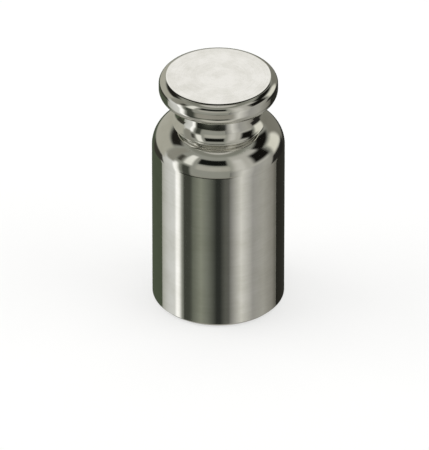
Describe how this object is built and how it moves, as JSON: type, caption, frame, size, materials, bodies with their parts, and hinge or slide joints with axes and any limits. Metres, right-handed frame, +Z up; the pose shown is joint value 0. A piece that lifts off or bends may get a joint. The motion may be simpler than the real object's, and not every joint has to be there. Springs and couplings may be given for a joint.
{
  "type": "calibration weight",
  "caption": "Cylindrical knob weight for calibrating balances: turned steel body with a hidden adjusting cavity, closed by a screw-in knob with a waisted neck.",
  "frame": {"origin": "centre of the flat base, on the turning axis", "axes": "+Z up the turning axis from the base to the knob's top face; every X and Y direction is alike"},
  "size_m": [0.048, 0.048, 0.0924],
  "materials": {
    "body_steel": "mirror-polished austenitic stainless steel",
    "knob_steel": "mirror-polished austenitic stainless steel, top face finely turned",
    "slug_steel": "as-turned stainless steel"
  },
  "bodies": {
    "weight_body": {"body": "body_steel", "adjusting_slugs": "slug_steel"},
    "knob": {"knob": "knob_steel"}
  },
  "joints": [
    {"name": "knob_lift", "type": "slide", "parent": "weight_body", "child": "knob", "axis": [0, 0, 1], "range_m": [0, 0.025]}
  ]
}
